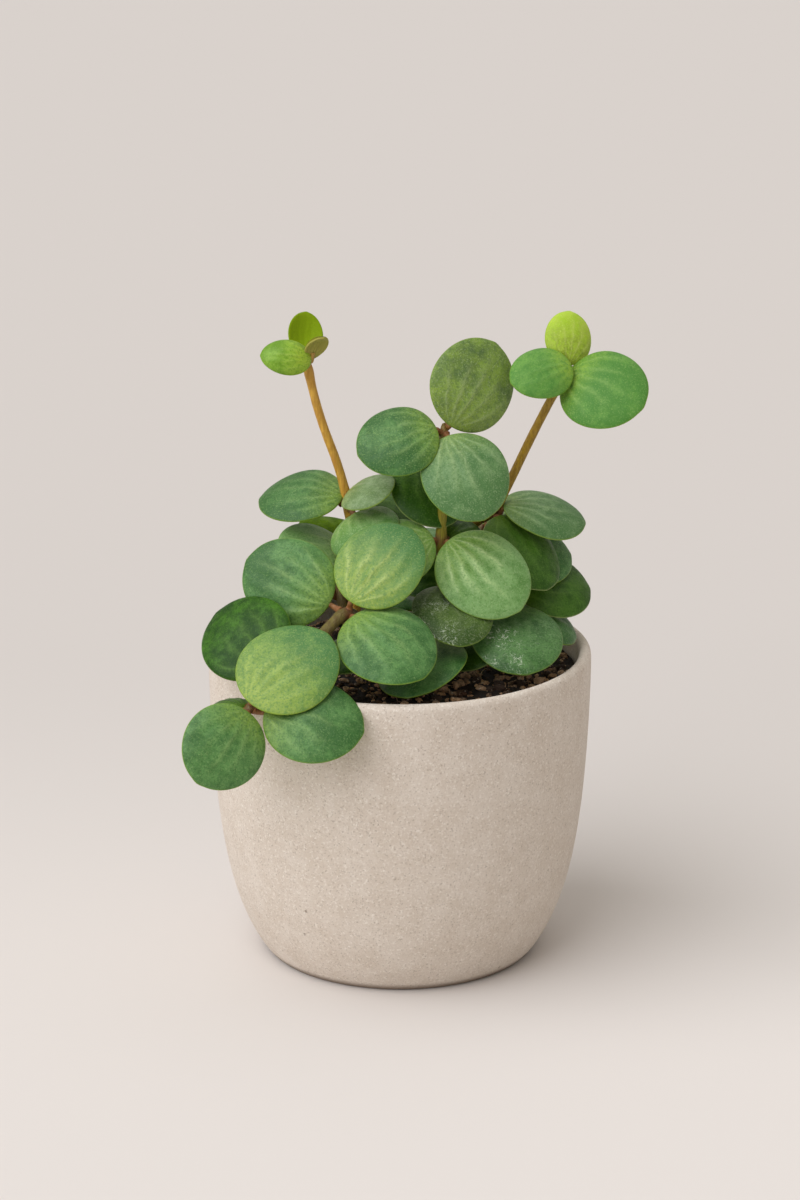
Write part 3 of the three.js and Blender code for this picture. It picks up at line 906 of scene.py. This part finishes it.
leafSkin = {
    # scale, detail and roughness of a noise, then the band that is used and its two ends
    "veinWaver": (170, 2.0, 0.5, 0.3, 0.7, -0.045, 0.045),
    "veinDrift": (38, 1.0, 0.5, 0.35, 0.65, -0.09, 0.09),
    "veinBreaks": (520, 3.0, 0.6, 0.32, 0.56, 0.3, 1.0),
    "veinPatches": (180, 3.0, 0.5, 0.3, 0.6, 0.45, 1.0),
    # the next layer breaks up the painted shade in the creases between the veins
    "valleyPatches": (240, 3.0, 0.6, 0.3, 0.6, 0.4, 1.0),
    "mottle": (420, 4.0, 0.72, 0.36, 0.66),
    "clouds": (90, 3.0, 0.6, 0.35, 0.65, -0.25, 0.7),
    "darkGrains": (1500, 3.0, 0.65, 0.34, 0.53, 0.62, 0.0),
    "paleGrains": (2000, 3.0, 0.65, 0.52, 0.72),
    "flecks": (2300, 2.0, 0.6, 0.54, 0.7),
    "fleckPatches": (330, 2.0, 0.5, 0.35, 0.62, 0.25),
    "scratchBreaks": (560, 2.0, 0.5, 0.47, 0.56),
    "scratchPatches": (150, 2.0, 0.5, 0.36, 0.55),
    "dust": (1700, 3.0, 0.7, 0.5, 0.72, 0.0, 0.35),
    # bands and their ends
    "veinStart": (0.0, 0.12, 0.3, 1.0),
    # painted shade in the creases between the veins, and where it fades out towards the tip
    "valley": (0.06, 0.19),
    "valleyEnd": (0.3, 0.75, 0.6, 0.0),
    # darker towards the tip: partly the leaf's own tint, partly a painted shading gradient
    "tipShade": (0.2, 1.0, -0.18, 0.28),
    "base": (0.0, 1.0, 0.0, 0.85),
    "baseMottle": (0.0, 1.0, 1.0, 0.6),
    # how much of the base colour still shows in the painted crease shade
    "baseValley": (0.0, 1.0, 1.0, 0.55),
    "scratchEdge": (0.012, 0.042, 1.0, 0.0),
    "scratchStart": (0.25, 0.45, 0.15, 1.0),
    "scratchSide": (0.46, 0.56, 0.12, 1.0),
    "rim": (0.5, 0.7, 0.9, 0.0),
    "dullness": (0.0, 1.0, 0.31, 0.45),
    # width of a vein's sharp core in its band, and the strength of the core and of the band
    "core": (0.4, 0.6, 0.65),
    "mottleShade": 0.55,
    "grainShare": 0.45,
    "leastGrain": 0.16,
    "fleckDullness": 0.3,
    "swirlScale": 420,
    "swirlReach": 0.004,
    "scratchScale": 520,
    "scratchColour": (210, 220, 198),
    # height of the mottle, the flecks and the veins, and the depth of it all
    "heights": (0.35, 0.5, 0.5),
    "relief": 0.00016,
}


def leafPattern():
    group, given, result = newPattern("leafSkin", leafLooks["mature"])
    place = objectPlace(group)
    side, onward, _ = parts(group, uvPlace(group, "veinMap"))
    edge = parts(group, uvPlace(group, "rimMap"))["Y"]
    ownVeins, ownShade, ownFlecks = parts(group, meshValue(group, "leafCharacter", "Vector"))

    def times(a, b):
        return mathNode(group, "MULTIPLY", a, b)

    def plus(a, b, clamp=False):
        return mathNode(group, "ADD", a, b, clamp)

    def minus(a, b):
        return mathNode(group, "SUBTRACT", a, b)

    def layer(name):
        return patches(group, place, *leafSkin[name])

    def band(value, name):
        return ramp(group, value, *leafSkin[name])

    # Veins fan out from the base; the middle one runs furthest, and all are broken and soft
    across = times(minus(side, 0.5), veinSpan)
    across = plus(plus(across, layer("veinWaver")), layer("veinDrift"))
    across = mathNode(group, "ABSOLUTE", across)
    coreWidth, coreStrength, bandStrength = leafSkin["core"]
    lines, nearest = None, None
    for position, reach, width in bladeForm["veinBands"]:
        away = mathNode(group, "ABSOLUTE", minus(across, position))
        core = times(ramp(group, away, 0.0, width * coreWidth, coreStrength, 0.0), layer("veinBreaks"))
        line = plus(core, ramp(group, away, 0.0, width, bandStrength, 0.0))
        line = times(line, ramp(group, onward, reach / 2, reach, 1.0, 0.0))
        lines = line if lines is None else mathNode(group, "MAXIMUM", lines, line)
        nearest = away if nearest is None else mathNode(group, "MINIMUM", nearest, away)
    lines = times(times(lines, band(onward, "veinStart")), layer("veinPatches"))
    # Painted shade in the creases between the veins, strongest near the base
    valley = times(times(band(nearest, "valley"), band(onward, "valleyEnd")), layer("valleyPatches"))

    # Mottled skin, paler and yellower towards the base
    mottle = layer("mottle")
    darkness = plus(layer("clouds"), times(mottle, leafSkin["mottleShade"]))
    # Darker towards the tip: partly the leaf's own tint, partly painted shade
    darkness = plus(darkness, band(onward, "tipShade"))
    # Each leaf's own darkness, which is partly painted shade and light, then the painted crease shade
    darkness = plus(plus(darkness, ownShade), times(valley, ownVeins), clamp=True)
    colour = mix(group, darkness, given.outputs["Body"], given.outputs["Deep"])
    base = minus(1.0, mathNode(group, "DIVIDE", onward, given.outputs["Base Reach"]))
    # The base colour stays out of the painted crease shade
    base = times(times(band(base, "base"), band(mottle, "baseMottle")), band(valley, "baseValley"))
    colour = mix(group, base, colour, given.outputs["Base"])
    lines = times(lines, times(given.outputs["Vein Strength"], ownVeins))
    colour = mix(group, lines, colour, given.outputs["Vein"])

    # A stipple of dark and light grains all over, and fine pale flecks where the look asks for them
    colour = mix(group, layer("darkGrains"), colour, given.outputs["Deep"])
    fleckiness = plus(given.outputs["Fleck Strength"], ownFlecks)
    grains = plus(times(fleckiness, leafSkin["grainShare"]), leafSkin["leastGrain"])
    flecks = times(times(layer("flecks"), layer("fleckPatches")), fleckiness)
    flecks = mathNode(group, "MAXIMUM", times(layer("paleGrains"), grains), flecks)
    colour = mix(group, flecks, colour, given.outputs["Vein"])

    # Short pale scratches and dust, gathered on one side, only where the look asks for them
    swirl = group.nodes.new("ShaderNodeTexNoise")
    swirl.inputs["Scale"].default_value = leafSkin["swirlScale"]
    group.links.new(place, swirl.inputs["Vector"])
    bend = group.nodes.new("ShaderNodeVectorMath")
    bend.operation = "MULTIPLY_ADD"
    bend.inputs[1].default_value = [leafSkin["swirlReach"]] * 3
    group.links.new(swirl.outputs["Color"], bend.inputs[0])
    group.links.new(place, bend.inputs[2])
    scratches = cells(group, bend.outputs["Vector"], leafSkin["scratchScale"], "DISTANCE_TO_EDGE")
    scratches = times(band(scratches, "scratchEdge"), layer("scratchBreaks"))
    scratches = mathNode(group, "MAXIMUM", scratches, layer("dust"))
    gathered = times(layer("scratchPatches"), band(onward, "scratchStart"))
    scratches = times(scratches, times(gathered, band(side, "scratchSide")))
    scratches = times(scratches, given.outputs["Scuff Strength"])
    colour = mix(group, scratches, colour, linear(leafSkin["scratchColour"]))

    colour = mix(group, band(edge, "rim"), colour, given.outputs["Rim"])
    group.links.new(colour, result.inputs["Colour"])
    dull = plus(band(mottle, "dullness"), times(flecks, leafSkin["fleckDullness"]))
    group.links.new(dull, result.inputs["Roughness"])
    mottleHeight, fleckHeight, veinHeight = leafSkin["heights"]
    height = plus(times(mottle, mottleHeight), times(flecks, fleckHeight))
    group.links.new(plus(height, times(lines, veinHeight)), result.inputs["Height"])
    return group


# The blade that every leaf is copied from: 1 wide, 1 long, and as thick as a real one
def makeBlade():
    bpy.ops.mesh.primitive_uv_sphere_add(
        segments=bladeForm["around"], ring_count=bladeForm["across"], radius=0.5, location=(0, 0, 0))
    blade = bpy.context.object
    blade.name = "bladePattern"
    mesh = blade.data
    for layer in list(mesh.uv_layers):
        mesh.uv_layers.remove(layer)
    mesh.uv_layers.new(name="veinMap")
    mesh.uv_layers.new(name="rimMap")
    veinLayer = mesh.uv_layers["veinMap"].data
    rimLayer = mesh.uv_layers["rimMap"].data
    veinAt = {}
    rimAt = {}
    gain, opening, closing = bladeForm["fan"]
    least = 0.0004  # keeps the spread off nought at base and tip
    for vertex in mesh.vertices:
        x, y, z = vertex.co
        share = min(1.0, 2 * math.hypot(x, y))
        face = 1 if z > 0 else -1
        onward = y + 0.5
        spread = gain * (4 * max(onward, least)) ** opening * max(1 - onward, least) ** closing
        across = max(-veinSpan / 2, min(veinSpan / 2, 2 * x / spread))
        veinAt[vertex.index] = (0.5 + across / veinSpan, onward)
        bulge = math.sqrt(max(0.0, 1 - share ** bladeForm["fullness"]))
        rimAt[vertex.index] = (share, 0.5 + face * bulge / 2)
        point = math.exp(-((x / bladeForm["tipWidth"]) ** 2)) * max(0.0, 2 * y) ** bladeForm["tipPower"]
        vertex.co.x = x * (1 - 2 * bladeForm["egg"] * y)
        vertex.co.y = onward + bladeForm["tip"] * point
        vertex.co.z = bladeForm["dome"] * (1 - share ** 2) + face * (bladeForm["thickness"] / 2 * bulge)
    for face in mesh.polygons:
        for loop, index in zip(face.loop_indices, face.vertices):
            veinLayer[loop].uv = veinAt[index]
            rimLayer[loop].uv = rimAt[index]
        face.material_index = 1 if all(rimAt[index][1] < 0.5 for index in face.vertices) else 0
    pick(blade)
    bpy.ops.object.shade_smooth()
    return blade


# Pleats, a slight sag and a wavy edge, different on every leaf
def shapeBlade(leaf, place, pleat, fold, chance):
    growth = place["length"] / bladeForm["usualLength"]
    wave = [chance.uniform(0, math.tau) for _ in range(3)]
    sag = chance.uniform(*bladeForm["sagRange"]) * bladeForm["sag"] * growth
    skew = chance.uniform(-1, 1) * bladeForm["skew"]
    ripple = bladeForm["edgeWave"] * min(1.0, growth)
    veinLayer = leaf.data.uv_layers["veinMap"].data
    moved = set()
    for loop in leaf.data.loops:
        if loop.vertex_index in moved:
            continue
        moved.add(loop.vertex_index)
        vertex = leaf.data.vertices[loop.vertex_index]
        x, y = vertex.co.x, vertex.co.y - 0.5
        across = veinSpan * abs(veinLayer[loop.index].uv.x - 0.5)
        nearest = min(abs(across - position) for position, _, _ in bladeForm["veinBands"])
        ridge = 0.5 + 0.5 * math.cos(math.pi * min(1.0, nearest / bladeForm["pleatReach"]))
        inner = max(0.0, 1 - (4 * (x * x + y * y)) ** 2)
        vertex.co.z += pleat * (ridge - 0.5) * inner * max(0.0, bladeForm["pleatEnd"] - vertex.co.y)
        vertex.co.z += fold * abs(x) * place["width"]
        share = min(1.0, 2 * math.hypot(x, y))
        angle = math.atan2(y, x)
        swing = math.sin(2 * angle + wave[0]) + 0.6 * math.sin(3 * angle + wave[1])
        calm = min(1.0, vertex.co.y / bladeForm["calmBase"])
        vertex.co.z += ripple * share ** 3 * swing * calm
        vertex.co.z -= sag * 4 * y * y * (1 if y > 0 else bladeForm["baseSag"])
        vertex.co.z += skew * 2 * x * math.sin(wave[2])


# A short bent stalk from the joint into the underside of the blade
def makePetiole(place, name):
    start = place["joint"] - (place["base"] - place["joint"]).normalized() * petioleForm["into"]
    share = petioleForm["sunk"] / place["length"]
    rise = bladeForm["dome"] * 4 * share * (1 - share) - petioleForm["under"]
    end = place["base"] + place["along"] * petioleForm["sunk"] + place["up"] * rise
    edge = place["base"] - place["up"] * petioleForm["under"]
    sag = place["up"] * petioleForm["sag"]
    bpy.ops.curve.primitive_nurbs_path_add(location=(0, 0, 0))
    stalk = bpy.context.object
    stalk.name = name
    spline = stalk.data.splines[0]
    bends = [start.lerp(edge, share) - sag for share in petioleForm["bends"]]
    for point, spot, size in zip(spline.points, [start, *bends, edge, end], petioleForm["swell"]):
        point.co = (*spot, 1)
        point.radius = size
    spline.use_endpoint_u = True
    spline.order_u = 3
    stalk.data.bevel_depth = petioleForm["radius"]
    stalk.data.bevel_resolution = 3
    stalk.data.resolution_u = 6
    stalk.data.use_fill_caps = True
    pick(stalk)
    bpy.ops.object.convert(target="MESH")
    stalk = bpy.context.object
    bpy.ops.object.shade_smooth()
    reach = (end - start).length
    markJoints(stalk, lambda spot: 1 - (spot - start).length / reach)
    return stalk


# Stems and petioles share one bark: streaked, and reddish at the joints

petioleLooks = {
    "mature": {"Skin": (142, 98, 50), "Dark": (92, 58, 30), "Joint": (134, 84, 44)},
    "young": {"Skin": (172, 136, 62), "Dark": (146, 102, 50), "Joint": (152, 102, 54)},
}
stemLooks = {
    "mature_stem": {"Skin": (112, 100, 42), "Dark": (84, 58, 30), "Joint": (112, 66, 36)},
    "young_stem": {"Skin": (216, 168, 62), "Dark": (170, 112, 36), "Joint": (124, 78, 46)},
    "stem_tall_right": {"Skin": (160, 126, 16), "Dark": (112, 80, 12), "Joint": (92, 58, 36)},
    "stem_centre": {"Skin": (138, 130, 8), "Dark": (112, 98, 10), "Joint": (118, 82, 44)},
}

stemGrain = {
    "stretch": (1.0, 1.0, 0.22),  # draws the streaks out upwards
    # scale, detail and roughness of a noise, then the band that is used and its two ends
    "streaks": (1100, 4.0, 0.7, 0.38, 0.66),
    "patches": (130, 2.0, 0.5, 0.4, 0.65),
    "jointEdge": (0.25, 0.9),
    "dullness": (0.0, 1.0, 0.42, 0.6),
    "streakStrength": 0.55,
    "patchStrength": 0.25,
    "jointStreaks": 0.15,
    "jointStrength": 0.9,
    "stemRelief": 0.00016,
    "petioleRelief": 0.0001,
}


def stemPattern():
    group, given, result = newPattern("stemSkin", stemLooks["mature_stem"])
    skin, dark = given.outputs["Skin"], given.outputs["Dark"]
    place = objectPlace(group)
    drawn = group.nodes.new("ShaderNodeMapping")
    drawn.inputs["Scale"].default_value = stemGrain["stretch"]
    group.links.new(place, drawn.inputs["Vector"])

    def times(value, amount):
        return mathNode(group, "MULTIPLY", value, stemGrain[amount])

    streaks = patches(group, drawn.outputs["Vector"], *stemGrain["streaks"])
    spots = patches(group, place, *stemGrain["patches"])
    colour = mix(group, times(streaks, "streakStrength"), skin, dark)
    colour = mix(group, times(spots, "patchStrength"), colour, dark)
    joint = mathNode(group, "ADD", meshValue(group, "jointMask"), times(streaks, "jointStreaks"))
    joint = times(ramp(group, joint, *stemGrain["jointEdge"]), "jointStrength")
    colour = mix(group, joint, colour, given.outputs["Joint"])
    group.links.new(colour, result.inputs["Colour"])
    group.links.new(ramp(group, streaks, *stemGrain["dullness"]), result.inputs["Roughness"])
    group.links.new(streaks, result.inputs["Height"])
    return group


def leafMaterials():
    skin = leafPattern()
    looks = {}
    for tone, look in leafLooks.items():
        shine = lowShine.get(tone, leafShine)
        looks[tone] = newMaterial(f"{tone}Leaf", skin, look, leafSkin["relief"],
                                  Specular_IOR_Level=shine, **leafDepth)
    return looks


# The stem that carries a leaf has the longest name that the leaf's name starts with
def stemOf(node):
    shoot = node.removeprefix("leaf_")
    stems = [name for name in nodes if name.startswith("stem_")]
    return max((name for name in stems if shoot.startswith(name.removeprefix("stem_"))), key=len)


def makeLeaves(bark):
    chance = random.Random(bladeForm["seed"])
    looks = leafMaterials()
    stalkLooks = {name: newMaterial(name + "Petiole", bark, look, stemGrain["petioleRelief"])
                  for name, look in petioleLooks.items()}
    blade = makeBlade()
    stemTrees = {}
    joints = {}
    leafNodes = sorted(name for name in nodes if name.startswith("leaf_"))
    for node in leafNodes:
        stem = stemOf(node)
        if stem not in stemTrees:
            stemTrees[stem] = surfaceTree(nodes[stem].data)
        place = leafPlace(node, stemTrees[stem])
        joints.setdefault(stem, []).append(place["joint"])
        own = ownLeaves.get(node, {})
        leaf = copyOf(blade, pieceName(node))
        shapeBlade(leaf, place, own.get("pleat", bladeForm["pleat"]), own.get("fold", 0.0), chance)
        drawn = {label: chance.uniform(*bladeForm[label]) for label in ("veins", "shade", "flecks")}
        character = [own.get(label, value) for label, value in drawn.items()]
        for value in leaf.data.attributes.new("leafCharacter", "FLOAT_VECTOR", "POINT").data:
            value.vector = character
        turn = Matrix((place["sideways"], place["along"], place["up"])).transposed().to_4x4()
        size = Matrix.Diagonal((place["width"], place["length"], 1, 1))
        leaf.matrix_world = Matrix.Translation(place["base"]) @ turn @ size
        pick(leaf)
        bpy.ops.object.transform_apply(location=True, rotation=True, scale=True)
        tone = own.get("tone", slotOf[node].replace("leaf_", ""))
        leaf.data.materials.append(looks[tone])
        leaf.data.materials.append(looks[tone if tone in sameBelow else "underside"])
        stalk = makePetiole(place, leaf.name + "Stalk")
        youngTop = slotOf[stem] == "young_stem" and "_top_" in node
        stalk.data.materials.append(stalkLooks["young" if youngTop else "mature"])
        pick(leaf, stalk)
        bpy.ops.object.join()
        finish(leaf, node)
    bpy.data.objects.remove(blade)
    print("leaves ready:", len(leafNodes))
    return joints


# Stems: smooth and slightly uneven

stemForm = {"smoothing": 2, "jointReach": 0.0036, "unevenness": [(0.005, 0.00012)]}


def makeStems(bark, joints):
    looks = {name: newMaterial(pieceName(name) + "Skin", bark, look, stemGrain["stemRelief"])
             for name, look in stemLooks.items()}
    for node in sorted(name for name in nodes if name.startswith("stem_")):
        stem = copyOf(nodes[node], pieceName(node))
        stem.data.materials.clear()
        weld(stem)
        roundOff(stem, stemForm["smoothing"])
        roughen(stem, stemForm["unevenness"], direction="NORMAL")
        bpy.ops.object.shade_smooth()
        ends = joints[node]
        reach = stemForm["jointReach"]
        markJoints(stem, lambda spot: 1 - min((spot - end).length for end in ends) / reach)
        finish(stem, node, looks.get(node) or looks[slotOf[node]])
    print("stems ready")


makeStudio()
makePot()
makeSoil()
bark = stemPattern()
joints = makeLeaves(bark)
makeStems(bark, joints)
